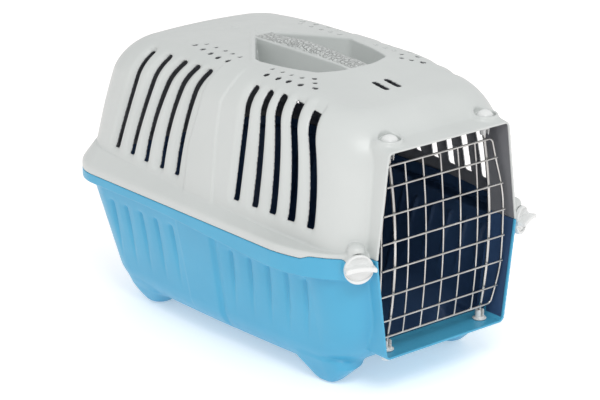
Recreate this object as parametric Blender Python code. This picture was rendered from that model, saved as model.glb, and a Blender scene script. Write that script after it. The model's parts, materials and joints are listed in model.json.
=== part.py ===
"""Pet transport carrier: two moulded shells, a bent-wire door and its locks.

Metres, +Z up. The door faces -Y, and the origin is under the middle of the object, on the floor.
"""

import math

import bmesh
import bpy
from mathutils import Matrix, Vector

# Driving dimensions, overall
RIM_HALF_WIDTH = 0.1575
RIM_REAR = 0.2447
FRONT_FACE = -0.240
PART_HEIGHT = 0.160
ROOF_HEIGHT = 0.3185
WALL = 0.0026
GAP = 0.0004

# Plan outline of the walls, where the upper shell stands on its flange
WALL_FOOT = 0.185
WALL_HALF_WIDTH = 0.1405
WALL_REAR = 0.2362
WALL_FRONT = -0.2300
FRONT_RADIUS = 0.061
REAR_RADIUS = 0.052
WAIST = 0.0095
WAIST_LENGTH = 0.230
WAIST_START = 0.060

# Upper shell
SIDE_LEAN = 0.18
REAR_LEAN = 0.08
REAR_CURVE = 1.0
FRONT_LEAN = 0.05
ROOF_FILLET = 0.034
FRONT_FILLET_EXTRA = 0.024
ROOF_CROWN = 0.005
ROOF_FALL = 0.016
ROOF_FALL_START = 0.060
FRONT_FALL = 0.0120
FRONT_FALL_START = -0.075
FRONT_FALL_END = -0.205
CROWN_END = -0.140

# Lower tray
TRAY_WALL_TOP = 0.146
TRAY_HALF_WIDTH = 0.1475
TRAY_REAR = 0.2335
TRAY_LEAN = 0.205
TRAY_FLOOR = 0.0130
TRAY_FILLET = 0.034
CHIN_TOP = 0.100
CHIN_DEPTH = 0.060
FOOT_X = 0.0850
FOOT_Y = 0.1510
FOOT_RADIUS = 0.031
FOOT_TAPER = ((0.0, 0.021), (0.0025, 0.014), (0.0075, 0.0075), (0.0140, 0.0032), (0.0280, 0.0009))

# Door tunnel
TUNNEL_HALF_WIDTHS = (0.086, 0.1013, 0.086)
TUNNEL_LEVELS = (0.0485, 0.163, 0.278)
TUNNEL_CORNER = 0.009
TUNNEL_WALL = 0.0024
TUNNEL_BACK = -0.198
TUNNEL_RISE = 0.008

# Door
HINGE_X = 0.068
DOOR_PLANE = -0.2265
DOOR_BOW = 0.0078
DOOR_MIDDLE = 0.1605
DOOR_HALF_HEIGHT = 0.0980
FRAME_BOTTOM = 0.0675
FRAME_TOP = 0.2570
FRAME_BOTTOM_HALF = 0.0805
FRAME_MIDDLE_HALF = 0.0880
FRAME_TOP_HALF = 0.0765
FRAME_WAIST_LEVELS = (0.120, 0.178)
FRAME_RADIUS = 0.00125
THIN_RADIUS = 0.0010
ROD_RADIUS = 0.00185
ROD_BOTTOM = 0.0545
ROD_TOP = 0.2700
ROD_EXTRA_BOW = 0.0027
ROD_EXTRA_HALF_HEIGHT = 0.0925
CROSS_LEVELS = (0.0885, 0.1175, 0.1470, 0.1765, 0.2065, 0.2360)
THIN_POSITIONS = (-0.050, -0.025, 0.0, 0.025, 0.050)
WIRE_GAP = 0.0003

# Slots and vent holes
SLOT_WIDTH = 0.0088
SLOT_FOOT_HEIGHT = 0.188
SLOT_HEAD_HEIGHT = 0.309
SLOT_LEVELS = ((0.1210, 0.188), (0.1125, 0.225), (0.1055, 0.262), (0.1000, 0.288), (0.1245, 0.336))
REAR_SLOT_FEET = (0.168, 0.139, 0.112, 0.083, 0.055)
REAR_SLOT_HEADS = (0.139, 0.107, 0.078, 0.0545, 0.0325)
REAR_SLOT_BENDS = (1.2, 1.45, 2.0, 2.3, 2.4)
FRONT_SLOT_FEET = (-0.0495, -0.0795, -0.1075, -0.136, -0.165)
FRONT_SLOT_HEADS = (-0.0478, -0.071, -0.0917, -0.115, -0.1405)
FRONT_SLOT_BENDS = (3.0, 3.0, 3.0, 3.0, 3.0)
VENT_RADIUS = 0.0024
VENT_PLACES = (
    (0.0781, 0.0921), (0.0821, 0.0725), (0.0854, 0.0548), (0.0879, 0.0383), (0.0879, 0.0206),
    (0.0679, 0.0841), (0.0690, 0.0660), (0.0693, 0.0486), (0.0708, 0.0345), (0.0722, 0.0196),
    (0.0886, -0.0470), (0.0880, -0.0659), (0.0870, -0.0817), (0.0839, -0.0977), (0.0771, -0.1135),
    (0.0743, -0.0391), (0.0736, -0.0556), (0.0735, -0.0701), (0.0713, -0.0846), (0.0689, -0.1034),
    (0.0623, -0.0946),
)
STRAP_SLOT = ((0.0045, 0.0125), (-0.152, -0.128))

# Handle
GRIP_HALF_WIDTH = 0.0145
GRIP_REAR = 0.072
GRIP_FRONT = -0.096
GRIP_LIFT = 0.0075
GRIP_EDGE = 0.006
PIT_PLAN = (
    (0.0190, 0.062), (0.0425, 0.030), (0.0630, 0.003), (0.0670, -0.012), (0.0635, -0.033),
    (0.0590, -0.056), (0.0525, -0.075), (0.0400, -0.087), (0.0250, -0.092),
)
PIT_MIDDLE = (0.038, -0.020)
PIT_REAR = 0.066
PIT_FRONT = -0.0935
PIT_DEPTH = 0.030

# Turn knobs and top latches
KNOB_CENTRE = (0.1185, -0.2330, 0.1565)
KNOB_TURN = math.radians(24)
KNOB_RADIUS = 0.0160
KNOB_THICKNESS = 0.0050
SHAFT_RADIUS = 0.0040
BOSS_RADIUS = 0.0152
BOSS_DEPTH = 0.034
BOSS_FACE = -0.0054
WING_SECTIONS = (
    (-0.0010, 0.0062, 0.0168),
    (0.0050, 0.0056, 0.0162),
    (0.0088, 0.0044, 0.0140),
    (0.0100, 0.0028, 0.0110),
)
WING_BELLY = 0.0030
LATCH_RADIUS = 0.0095
POCKET_RADIUS = 0.0105
POCKET_FLOOR = 0.2777
POCKET_UNDERSIDE = 0.2751
HUB_RADIUS = 0.0045
SOCKET_RADIUS = 0.0060
SLOT_CLEARANCE = 0.0022


# ---------------------------------------------------------------- helpers


def clear_scene():
    for obj in list(bpy.data.objects):
        bpy.data.objects.remove(obj, do_unlink=True)


def make_material(name, colour, roughness, metallic=0.0):
    material = bpy.data.materials.new(name)
    material.use_nodes = True
    shader = material.node_tree.nodes["Principled BSDF"]
    shader.inputs["Base Color"].default_value = (*colour, 1.0)
    shader.inputs["Roughness"].default_value = roughness
    shader.inputs["Metallic"].default_value = metallic
    return material


def add_object(name, mesh, material=None, parent=None):
    obj = bpy.data.objects.new(name, mesh)
    bpy.context.scene.collection.objects.link(obj)
    if material:
        mesh.materials.append(material)
    if parent:
        obj.parent = parent
        obj.matrix_parent_inverse = parent.matrix_world.inverted()
    return obj


def mesh_from(name, build, smooth=True):
    """A mesh made by a function that fills a bmesh, with its normals facing out."""
    bm = bmesh.new()
    build(bm)
    bmesh.ops.triangulate(bm, faces=bm.faces)
    bmesh.ops.recalc_face_normals(bm, faces=bm.faces)
    mesh = bpy.data.meshes.new(name)
    bm.to_mesh(mesh)
    bm.free()
    if smooth:
        mesh.shade_smooth()
        mesh.set_sharp_from_angle(angle=math.radians(32))
    return mesh


def add_rings(bm, rings):
    """A closed body through rings with the same number of points, capped at both ends."""
    loops = [[bm.verts.new(point) for point in ring] for ring in rings]
    count = len(rings[0])
    for low, high in zip(loops, loops[1:]):
        for i in range(count):
            j = (i + 1) % count
            bm.faces.new((low[i], low[j], high[j], high[i]))
    bm.faces.new(list(reversed(loops[0])))
    bm.faces.new(loops[-1])


def ring_body(name, rings):
    return add_object(name, mesh_from(name, lambda bm: add_rings(bm, rings)))


def as_cutter(obj):
    obj.hide_render = True
    obj.display_type = "WIRE"
    return obj


def combine(target, operation, *others):
    """One EXACT Boolean modifier for each other body, in order."""
    for other in others:
        modifier = target.modifiers.new(f"{operation.lower()} {other.name}", "BOOLEAN")
        modifier.operation = operation
        modifier.object = as_cutter(other)


def smoothstep(low, high, value):
    t = min(max((value - low) / (high - low), 0.0), 1.0)
    return t * t * (3 - 2 * t)


def lerp(a, b, t):
    return a + (b - a) * t


def turned(profile, sides, centre=(0, 0, 0)):
    """Rings about Z from (radius, height) pairs."""
    x, y, z = centre
    angles = [2 * math.pi * i / sides for i in range(sides)]
    return [
        [(x + r * math.cos(a), y + r * math.sin(a), z + h) for a in angles]
        for r, h in profile
    ]


def arc(centre, radius, start, end, steps):
    cx, cy = centre
    angles = [math.radians(lerp(start, end, i / steps)) for i in range(steps + 1)]
    return [(cx + radius * math.cos(a), cy + radius * math.sin(a)) for a in angles]


def prism(points, low, high):
    return [[(x, y, low) for x, y in points], [(x, y, high) for x, y in points]]


# ---------------------------------------------------------------- shell surfaces

CORNER_STEPS = 7
SIDE_STEPS = 11
END_STEPS = 4


def side_waist(y):
    """How far the side wall has drawn in at this Y, forward of the widest place."""
    return max((WAIST_START - y) / WAIST_LENGTH, 0.0) ** 2


def plan_outline(half_width, front, rear, front_radius, rear_radius, waist=WAIST):
    """A closed outline seen from above, counterclockwise from the front middle."""
    right = []
    front_half = half_width - waist * side_waist(front + front_radius)
    right += [
        (lerp(0.0, front_half - front_radius, i / END_STEPS), front)
        for i in range(END_STEPS)
    ]
    front_centre = (front_half - front_radius, front + front_radius)
    right += arc(front_centre, front_radius, -90, 0, CORNER_STEPS)
    for i in range(1, SIDE_STEPS):
        y = lerp(front + front_radius, rear - rear_radius, i / SIDE_STEPS)
        right.append((half_width - waist * side_waist(y), y))
    rear_centre = (half_width - rear_radius, rear - rear_radius)
    right += arc(rear_centre, rear_radius, 0, 90, CORNER_STEPS)
    right += [
        (lerp(half_width - rear_radius, 0.0, i / END_STEPS), rear)
        for i in range(1, END_STEPS)
    ]
    middle_rear = [(0.0, rear)]
    left = [(-x, y) for x, y in reversed(right[1:])]
    return right + middle_rear + left


def upper_wall(height, inset=0.0, front_extra=0.0):
    """The upper shell's wall outline at a height, drawn in by the inset."""
    rise = height - WALL_FOOT
    return plan_outline(
        WALL_HALF_WIDTH - SIDE_LEAN * rise - inset,
        WALL_FRONT + FRONT_LEAN * rise + inset + front_extra,
        WALL_REAR - REAR_LEAN * rise - REAR_CURVE * rise * max(rise, 0.0) - inset,
        FRONT_RADIUS - inset,
        REAR_RADIUS - inset,
        WAIST * (1 - 0.5 * rise / (ROOF_HEIGHT - WALL_FOOT)),
    )


def rim_outline(inset=0.0):
    """The flange where the two shells meet. It fades into the wall beside the door."""
    wide = plan_outline(
        RIM_HALF_WIDTH - inset,
        WALL_FRONT + inset,
        RIM_REAR - inset,
        FRONT_RADIUS - inset,
        REAR_RADIUS + 0.005 - inset,
        waist=0.0,
    )
    narrow = upper_wall(WALL_FOOT, inset)
    ring = []
    for n, w in zip(narrow, wide):
        share = lerp(0.45, 1.0, smoothstep(-0.215, -0.130, w[1]))
        ring.append((lerp(n[0], w[0], share), lerp(n[1], w[1], share)))
    return ring


def roof_height(y):
    """Height of the roof's edge. It falls away towards both ends."""
    back = max((y - ROOF_FALL_START) / (WALL_REAR - ROOF_FALL_START), 0.0)
    front = smoothstep(FRONT_FALL_START, FRONT_FALL_END, y)
    return ROOF_HEIGHT - ROOF_FALL * back**2 - FRONT_FALL * front


def crown_height(y):
    """How far the middle of the roof stands above its edge. The front of the roof is flat."""
    return ROOF_CROWN * (1 - smoothstep(FRONT_FALL_START, CROWN_END, y))


def roof_rings(inset, fillet_steps, roof_steps):
    """The rounded edge of the roof and the crowned roof, up to a small ring round the spine."""
    rings = []
    fillet = ROOF_FILLET - inset
    tangent = ROOF_HEIGHT - ROOF_FILLET
    base = upper_wall(tangent, inset)
    for step in range(1, fillet_steps + 1):
        angle = 0.5 * math.pi * step / fillet_steps
        share = 0.94 * (1 - math.cos(angle))
        outline = upper_wall(tangent, inset + fillet * share, FRONT_FILLET_EXTRA * share)
        rings.append(
            [(x, y, roof_height(y) - inset - fillet * (1 - math.sin(angle))) for x, y in outline]
        )
    edge = upper_wall(tangent, inset + 0.94 * fillet, 0.94 * FRONT_FILLET_EXTRA)
    for step in range(1, roof_steps + 1):
        t = step / (roof_steps + 1)
        ring = []
        for x, y in edge:
            spine_y = min(max(y, -0.120), 0.110)
            px, py = x * (1 - t), lerp(y, spine_y, t)
            crown = crown_height(py) * (1 - (1 - t) ** 2)
            ring.append((px, py, roof_height(py) - inset + crown))
        rings.append(ring)
    return base, rings


def upper_outer_rings():
    rings = []
    for inset, height in ((0.0, PART_HEIGHT), (0.0004, 0.1690), (0.0022, 0.1727)):
        rings.append([(x, y, height) for x, y in rim_outline(inset)])
    foot = upper_wall(WALL_FOOT)
    rim = rim_outline(0.0022)
    for share, height in ((0.72, 0.1748), (0.30, 0.1775), (0.08, 0.1810)):
        rings.append(
            [(lerp(w[0], r[0], share), lerp(w[1], r[1], share), height) for w, r in zip(foot, rim)]
        )
    rings.append([(x, y, WALL_FOOT) for x, y in foot])
    base, roof = roof_rings(0.0, 6, 3)
    tangent = ROOF_HEIGHT - ROOF_FILLET
    rings.append([(x, y, tangent + roof_height(y) - ROOF_HEIGHT) for x, y in base])
    return rings + roof


def upper_inner_rings():
    rings = [[(x, y, PART_HEIGHT - 0.020) for x, y in upper_wall(WALL_FOOT, WALL)]]
    rings.append([(x, y, WALL_FOOT) for x, y in upper_wall(WALL_FOOT, WALL)])
    base, roof = roof_rings(WALL, 4, 2)
    tangent = ROOF_HEIGHT - ROOF_FILLET
    rings.append([(x, y, tangent + roof_height(y) - ROOF_HEIGHT) for x, y in base])
    return rings + roof


def tray_wall(height, inset=0.0):
    drop = TRAY_WALL_TOP - height
    chin = CHIN_DEPTH * max((CHIN_TOP - height) / (CHIN_TOP - TRAY_FLOOR), 0.0) ** 2
    return plan_outline(
        TRAY_HALF_WIDTH - TRAY_LEAN * drop - inset,
        WALL_FRONT + chin + inset,
        TRAY_REAR - TRAY_LEAN * drop - inset,
        max(FRONT_RADIUS - 0.15 * drop, 0.04) - inset,
        REAR_RADIUS - inset,
    )


def tray_fillet_rings(inset, steps):
    fillet = TRAY_FILLET - inset
    rings = []
    for step in range(steps):
        angle = 0.5 * math.pi * step / steps
        height = TRAY_FLOOR + inset + fillet * (1 - math.cos(angle))
        drawn = inset + fillet * (1 - math.sin(angle))
        rings.append([(x, y, height) for x, y in tray_wall(TRAY_FLOOR + TRAY_FILLET, drawn)])
    return rings


def tray_outer_rings():
    rings = tray_fillet_rings(0.0, 4)
    for height in (TRAY_FLOOR + TRAY_FILLET, 0.055, 0.080, 0.110, TRAY_WALL_TOP - 0.012):
        rings.append([(x, y, height) for x, y in tray_wall(height)])
    top = PART_HEIGHT - GAP
    for height, inset in ((TRAY_WALL_TOP + 0.0025, 0.0014), (TRAY_WALL_TOP + 0.005, 0.0)):
        rings.append(
            [(x, y, height - 0.009 * smoothstep(0.10, -0.16, y)) for x, y in rim_outline(inset)]
        )
    rings.append([(x, y, top) for x, y in rim_outline()])
    return rings


def tray_inner_rings():
    rings = tray_fillet_rings(WALL, 3)
    for height in (TRAY_FLOOR + TRAY_FILLET, 0.055, 0.100, TRAY_WALL_TOP - 0.012):
        rings.append([(x, y, height) for x, y in tray_wall(height, WALL)])
    rings.append([(x, y, PART_HEIGHT + 0.010) for x, y in tray_wall(TRAY_WALL_TOP - 0.012, WALL)])
    return rings


# ---------------------------------------------------------------- door tunnel


def tunnel_outline(inset, rise=0.0):
    """The six-sided opening, with rounded corners, as (x, z)."""
    halves, levels = TUNNEL_HALF_WIDTHS, TUNNEL_LEVELS
    radius = TUNNEL_CORNER - inset
    low, high = levels[0] + inset, levels[2] - inset + rise
    right = arc((halves[0] - inset - radius, low + radius), radius, -90, 7, 4)
    right.append((halves[1] - inset, levels[1]))
    right += arc((halves[2] - inset - radius, high - radius), radius, -7, 90, 4)
    return right + [(-x, z) for x, z in reversed(right)]


def tunnel_body(name, inset, front, rear):
    """The hood over the door: its ceiling rises towards the rear, from the front face on."""
    rings = []
    for y in (front, FRONT_FACE, rear):
        rise = TUNNEL_RISE * max(y - FRONT_FACE, 0.0) / (TUNNEL_BACK - FRONT_FACE)
        if not rings or y > front:
            rings.append([(x, y, z) for x, z in tunnel_outline(inset, rise)])
    return ring_body(name, rings)


def half_space(name, low, high):
    size = 0.4
    square = [(-size, -size), (size, -size), (size, size), (-size, size)]
    return ring_body(name, prism(square, low, high))


# ---------------------------------------------------------------- slots, holes, handle


def slot_cutter_rings(foot_y, head_y, bend, side):
    """A slab that follows the wall from above the flange over the shoulder, bending as it climbs."""
    profile = [(0.170, z) for _, z in SLOT_LEVELS] + list(reversed(SLOT_LEVELS))
    rings = []
    for half in (-0.5 * SLOT_WIDTH, 0.5 * SLOT_WIDTH):
        ring = []
        for x, z in profile:
            share = min((z - SLOT_FOOT_HEIGHT) / (SLOT_HEAD_HEIGHT - SLOT_FOOT_HEIGHT), 1.0)
            ring.append((side * x, lerp(foot_y, head_y, share**bend) + half, z))
        rings.append(ring)
    return rings


def openings_cutter():
    def build(bm):
        for side in (-1, 1):
            feet = REAR_SLOT_FEET + FRONT_SLOT_FEET
            heads = REAR_SLOT_HEADS + FRONT_SLOT_HEADS
            bends = REAR_SLOT_BENDS + FRONT_SLOT_BENDS
            for foot_y, head_y, bend in zip(feet, heads, bends):
                add_rings(bm, slot_cutter_rings(foot_y, head_y, bend, side))
            for x, y in VENT_PLACES:
                add_rings(bm, turned(((VENT_RADIUS, 0.295), (VENT_RADIUS, 0.335)), 8, (side * x, y, 0)))
            (near, far), (front, rear) = STRAP_SLOT
            strap = [(side * far, rear), (side * far, front), (side * near, front), (side * near, rear)]
            add_rings(bm, prism(strap if side > 0 else strap[::-1], 0.300, 0.335))

    return add_object("openings_cutter", mesh_from("openings_cutter", build, smooth=False))


def pit_outline(side, inset):
    """Plan of one finger pit beside the grip: straight along the grip, and widest behind the middle."""
    inner = GRIP_HALF_WIDTH + inset
    rear, front = PIT_REAR - inset, PIT_FRONT + inset
    middle = Vector(PIT_MIDDLE)
    points = [(inner, rear)]
    for place in PIT_PLAN:
        outward = Vector(place) - middle
        drawn = Vector(place) - 1.1 * inset * outward.normalized()
        points.append((max(drawn.x, inner + 0.001), min(max(drawn.y, front + 0.001), rear - 0.001)))
    steps = 8
    points += [(inner, lerp(front, rear, step / steps)) for step in range(steps)]
    return [(side * x, y) for x, y in points]


def pit_body(name, side, inset, top):
    """A well that is deep at the rear and scoops up towards the front."""
    rings = []
    outline = pit_outline(side, inset)
    for share in (0.0, 0.55, 1.0):
        ring = []
        for x, y in outline:
            along = (PIT_REAR - y) / (PIT_REAR - PIT_FRONT)
            depth = PIT_DEPTH * (1 - along**2.6) + 0.004
            floor = roof_height(y) - depth + inset
            draw = lerp(0.90, 1.0, share)
            inner = side * (GRIP_HALF_WIDTH + inset)
            ring.append((inner + (x - inner) * draw, y, lerp(floor, top, share)))
        rings.append(ring)
    return ring_body(name, rings)


def grip_rings(low):
    """The arched grip, with rounded top edges."""
    rings = []
    steps = 10
    half = GRIP_HALF_WIDTH
    for step in range(steps + 1):
        t = step / steps
        y = lerp(GRIP_FRONT, GRIP_REAR, t)
        top = roof_height(y) + crown_height(y) + GRIP_LIFT * max(math.sin(math.pi * t), 0.0) ** 0.7
        right = arc((half - GRIP_EDGE, top - GRIP_EDGE), GRIP_EDGE, 0, 90, 3)
        section = [(half, low), *right, *[(-x, z) for x, z in reversed(right)], (-half, low)]
        rings.append([(x, y, z) for x, z in reversed(section)])
    return rings


# ---------------------------------------------------------------- the two shells


def knob_matrix(side):
    """+Z of the knob's own space points out of the carrier along the knob's axis."""
    x, y, z = KNOB_CENTRE
    normal = Vector((side * math.sin(KNOB_TURN), -math.cos(KNOB_TURN), 0.0))
    across = Vector((0, 0, 1)).cross(normal)
    turn = Matrix((across, Vector((0, 0, 1)), normal)).transposed().to_4x4()
    return Matrix.Translation((side * x, y, z)) @ turn


def placed(rings, matrix):
    return [[tuple(matrix @ Vector(point)) for point in ring] for ring in rings]


def knob_space_body(name, side, rings):
    return ring_body(name, placed(rings, knob_matrix(side)))


def make_upper_shell(material):
    shell = ring_body("upper_shell", upper_outer_rings())
    shell.data.materials.append(material)
    combine(
        shell,
        "UNION",
        tunnel_body("upper_tunnel", 0.0, FRONT_FACE, TUNNEL_BACK),
        ring_body("grip_outer", grip_rings(0.300)),
        *[boss_body("upper", side) for side in (-1, 1)],
        *[lug_body(side) for side in (-1, 1)],
    )
    cavity = ring_body("upper_cavity", upper_inner_rings())
    doorway = tunnel_body("upper_doorway", TUNNEL_WALL, FRONT_FACE - 0.02, TUNNEL_BACK + 0.04)
    combine(cavity, "DIFFERENCE", *[pit_body(f"pit_outer_{side}", side, 0.0, 0.345) for side in (-1, 1)])
    combine(cavity, "DIFFERENCE", *[pocket_wall("cavity", side) for side in (-1, 1)])
    combine(doorway, "DIFFERENCE", *[pocket_wall("doorway", side) for side in (-1, 1)])
    combine(
        shell,
        "DIFFERENCE",
        cavity,
        doorway,
        half_space("below_parting", -0.05, PART_HEIGHT),
        *[pit_body(f"pit_inner_{side}", side, WALL, 0.350) for side in (-1, 1)],
        openings_cutter(),
    )
    for side in (-1, 1):
        combine(
            shell,
            "DIFFERENCE",
            latch_pocket(side),
            boss_hollow("upper", side),
            shaft_hole("upper", side),
            knob_clearance(side),
        )
    return shell


def boss_body(owner, side):
    """The round boss that a turn knob sits on. Each shell holds half of it."""
    profile = (
        (BOSS_RADIUS + 0.002, -BOSS_DEPTH),
        (BOSS_RADIUS, BOSS_FACE - 0.0015),
        (BOSS_RADIUS - 0.0015, BOSS_FACE),
    )
    return knob_space_body(f"{owner}_boss_{side}", side, turned(profile, 20))


def boss_hollow(owner, side):
    profile = ((BOSS_RADIUS - 0.003, -BOSS_DEPTH - 0.012), (BOSS_RADIUS - 0.003, BOSS_FACE - 0.003))
    return knob_space_body(f"{owner}_boss_hollow_{side}", side, turned(profile, 16))


def shaft_hole(owner, side):
    rings = turned(((SHAFT_RADIUS + 0.0005, -0.03), (SHAFT_RADIUS + 0.0005, 0.01)), 16)
    return knob_space_body(f"{owner}_shaft_hole_{side}", side, rings)


def knob_clearance(side):
    """The space that a knob's disc turns in, under the lug."""
    rings = turned(((KNOB_RADIUS + 0.0006, BOSS_FACE), (KNOB_RADIUS + 0.0006, 0.020)), 24)
    return knob_space_body(f"knob_clearance_{side}", side, rings)


def lug_body(side):
    """The domed lug on the shell above a knob."""
    profile = ((0.0105, -0.030), (0.0085, -0.006), (0.0060, -0.0035), (0.0025, -0.0025))
    rings = turned(profile, 14, (0, 0.0185, 0))
    return knob_space_body(f"lug_{side}", side, rings)


def rod_place(side):
    """The line that a thick rod's ends stand on, as (x, y)."""
    return side * HINGE_X, DOOR_PLANE + 2 * FRAME_RADIUS + THIN_RADIUS + ROD_RADIUS + 2 * WIRE_GAP


def pocket_wall(owner, side):
    x, y = rod_place(side)
    radius = POCKET_RADIUS + 0.0022
    rings = turned(((radius, POCKET_UNDERSIDE), (radius, 0.34)), 18, (x, y, 0))
    return ring_body(f"{owner}_pocket_wall_{side}", rings)


def latch_pocket(side):
    """The pocket in the roof's front edge that a latch turns in, and the hole for its stem."""
    x, y = rod_place(side)
    profile = (
        (HUB_RADIUS + 0.0004, 0.270),
        (HUB_RADIUS + 0.0004, POCKET_FLOOR),
        (POCKET_RADIUS, POCKET_FLOOR),
        (POCKET_RADIUS, 0.34),
    )
    return ring_body(f"latch_pocket_{side}", turned(profile, 18, (x, y, 0)))


def make_tray(material):
    tray = ring_body("lower_tray", tray_outer_rings())
    tray.data.materials.append(material)
    combine(tray, "UNION", tunnel_body("lower_tunnel", 0.0, FRONT_FACE, TUNNEL_BACK))
    feet = [foot_body(x, y) for x in (-FOOT_X, FOOT_X) for y in (-FOOT_Y, FOOT_Y)]
    combine(tray, "UNION", *feet, *[boss_body("lower", side) for side in (-1, 1)])
    combine(
        tray,
        "DIFFERENCE",
        ring_body("lower_cavity", tray_inner_rings()),
        tunnel_body("lower_doorway", TUNNEL_WALL, FRONT_FACE - 0.02, TUNNEL_BACK + 0.04),
        half_space("above_parting", PART_HEIGHT - GAP, 0.4),
    )
    for side in (-1, 1):
        combine(tray, "DIFFERENCE", boss_hollow("lower", side), shaft_hole("lower", side), socket_hole(side))
    return tray


def foot_body(x, y):
    """A corner foot, flush with the tray's corner outside and rounded below."""
    shares = ((0.55, 0.0), (0.78, 0.003), (0.92, 0.0065), (1.0, 0.014), (0.9, 0.030))
    profile = [(share * FOOT_RADIUS, height) for share, height in shares]
    block = ring_body(f"foot_{x:+.2f}_{y:+.2f}", turned(profile, 18, (x, y, 0)))
    outline = [
        [(px, py, height) for px, py in tray_wall(TRAY_FLOOR + TRAY_FILLET, inset)]
        for height, inset in FOOT_TAPER
    ]
    limit = ring_body(f"foot_limit_{x:+.2f}_{y:+.2f}", outline)
    combine(block, "INTERSECT", limit)
    return block


def socket_hole(side):
    x, y = rod_place(side)
    rings = turned(((SOCKET_RADIUS + 0.0003, 0.030), (SOCKET_RADIUS + 0.0003, 0.060)), 16, (x, y, 0))
    return ring_body(f"socket_hole_{side}", rings)


# ---------------------------------------------------------------- locks


def hang(name, place, *pieces):
    """A parent empty on a joint's axis. The pieces stay where they are."""
    pivot = add_object(name, None)
    pivot.location = place
    pivot.matrix_world = Matrix.Translation(place)
    for piece in pieces:
        piece.parent = pivot
        piece.matrix_parent_inverse = Matrix.Translation(place).inverted()


def make_knob(side, name, material):
    """A turn knob: a disc on a stem, with a thumb wing across it."""
    stem_end = BOSS_FACE - 0.0085
    profile = (
        (SHAFT_RADIUS, stem_end),
        (SHAFT_RADIUS, -KNOB_THICKNESS),
        (KNOB_RADIUS, -KNOB_THICKNESS),
        (KNOB_RADIUS, -0.0012),
        (KNOB_RADIUS - 0.0012, 0.0),
    )
    knob = knob_space_body(name, side, turned(profile, 24))
    knob.data.materials.append(material)
    wing = []
    steps = 5
    for height, half_height, reach in WING_SECTIONS:
        top = [(lerp(reach, -reach, i / steps), half_height) for i in range(steps + 1)]
        belly = WING_BELLY * (1 - height / 0.02)
        low = [
            (lerp(-reach, reach, i / steps), -half_height - belly * math.sin(math.pi * i / steps))
            for i in range(steps + 1)
        ]
        wing.append([(x, y, height) for x, y in top + low])
    combine(knob, "UNION", knob_space_body(f"{name}_wing", side, wing))
    return knob


def make_knob_cam(side, name, material):
    """The locking cam behind the boss's face. It lies flat at rest, unlocked."""
    low, high = BOSS_FACE - 0.0034 - 0.0008 - 0.0030, BOSS_FACE - 0.0034 - 0.0008
    half_length, half_width = 0.0118, 0.0052
    ends = arc((half_length - half_width, 0), half_width, -90, 90, 6)
    ends += [(-x, y) for x, y in reversed(ends)]
    cam = knob_space_body(name, side, prism(ends, low, high))
    cam.data.materials.append(material)
    bore = turned(((SHAFT_RADIUS + 0.0003, low - 0.01), (SHAFT_RADIUS + 0.0003, high + 0.01)), 16)
    combine(cam, "DIFFERENCE", knob_space_body(f"{name}_bore", side, bore))
    return cam


def make_latch(side, name, material):
    """A door latch: a domed thumb piece on a stem, with an open collar round the rod's top."""
    x, y = rod_place(side)
    profile = (
        (0.0046, 0.2625),
        (0.0056, 0.2700),
        (0.0056, POCKET_UNDERSIDE - 0.0004),
        (HUB_RADIUS, POCKET_UNDERSIDE - 0.0004),
        (HUB_RADIUS, POCKET_FLOOR + 0.0004),
        (LATCH_RADIUS, POCKET_FLOOR + 0.0004),
        (LATCH_RADIUS, 0.2820),
        (0.86 * LATCH_RADIUS, 0.2858),
        (0.60 * LATCH_RADIUS, 0.2883),
        (0.25 * LATCH_RADIUS, 0.2894),
    )
    latch = ring_body(name, turned(profile, 18, (x, y, 0)))
    latch.data.materials.append(material)
    bore_rings = turned(((0.0035, 0.260), (0.0035, ROD_TOP + 0.0010)), 14, (x, y, 0))
    bore = ring_body(f"{name}_bore", bore_rings)
    front_slot = slot_to_front(f"{name}_slot", x, y, 0.259, ROD_TOP + 0.0009)
    near, far = y - 0.012, y - 0.0052
    slit = [(x - 0.012, near), (x + 0.012, near), (x + 0.012, far), (x - 0.012, far)]
    combine(latch, "DIFFERENCE", bore, front_slot, ring_body(f"{name}_slit", prism(slit, 0.2806, 0.2819)))
    return latch


def slot_to_front(name, x, y, low, high):
    outline = [
        (x - SLOT_CLEARANCE, y - 0.010),
        (x + SLOT_CLEARANCE, y - 0.010),
        (x + SLOT_CLEARANCE, y),
        (x - SLOT_CLEARANCE, y),
    ]
    return ring_body(name, prism(outline, low, high))


def make_socket(side, name, material):
    """The bush in the sill that a rod's lower end stands in, open to the front."""
    x, y = rod_place(side)
    floor = TUNNEL_LEVELS[0] + TUNNEL_WALL
    seat = ROD_BOTTOM - 0.0004
    profile = (
        (SOCKET_RADIUS - 0.0014, floor - 0.0105),
        (SOCKET_RADIUS, floor - 0.0090),
        (SOCKET_RADIUS, floor + 0.0003),
        (SOCKET_RADIUS + 0.0018, floor + 0.0003),
        (SOCKET_RADIUS + 0.0018, floor + 0.0018),
        (SOCKET_RADIUS - 0.0008, floor + 0.0022),
        (SOCKET_RADIUS - 0.0012, floor + 0.0110),
    )
    socket = ring_body(name, turned(profile, 16, (x, y, 0)))
    socket.data.materials.append(material)
    bore_radius = SLOT_CLEARANCE + 0.0002
    bore_rings = turned(((bore_radius, seat), (bore_radius, 0.080)), 12, (x, y, 0))
    bore = ring_body(f"{name}_bore", bore_rings)
    combine(socket, "DIFFERENCE", bore, slot_to_front(f"{name}_slot", x, y, seat + 0.0001, 0.081))
    return socket


# ---------------------------------------------------------------- wire door


def bow(height):
    """How far the bowed door stands forward of its ends at a height."""
    share = (height - DOOR_MIDDLE) / DOOR_HALF_HEIGHT
    return DOOR_BOW * max(1 - share**2, 0.0)


def rod_extra_bow(height):
    """The rods bow further than the lattice, up to the back of the cross wires."""
    share = (height - DOOR_MIDDLE) / ROD_EXTRA_HALF_HEIGHT
    return ROD_EXTRA_BOW * max(1 - share**2, 0.0)


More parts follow.
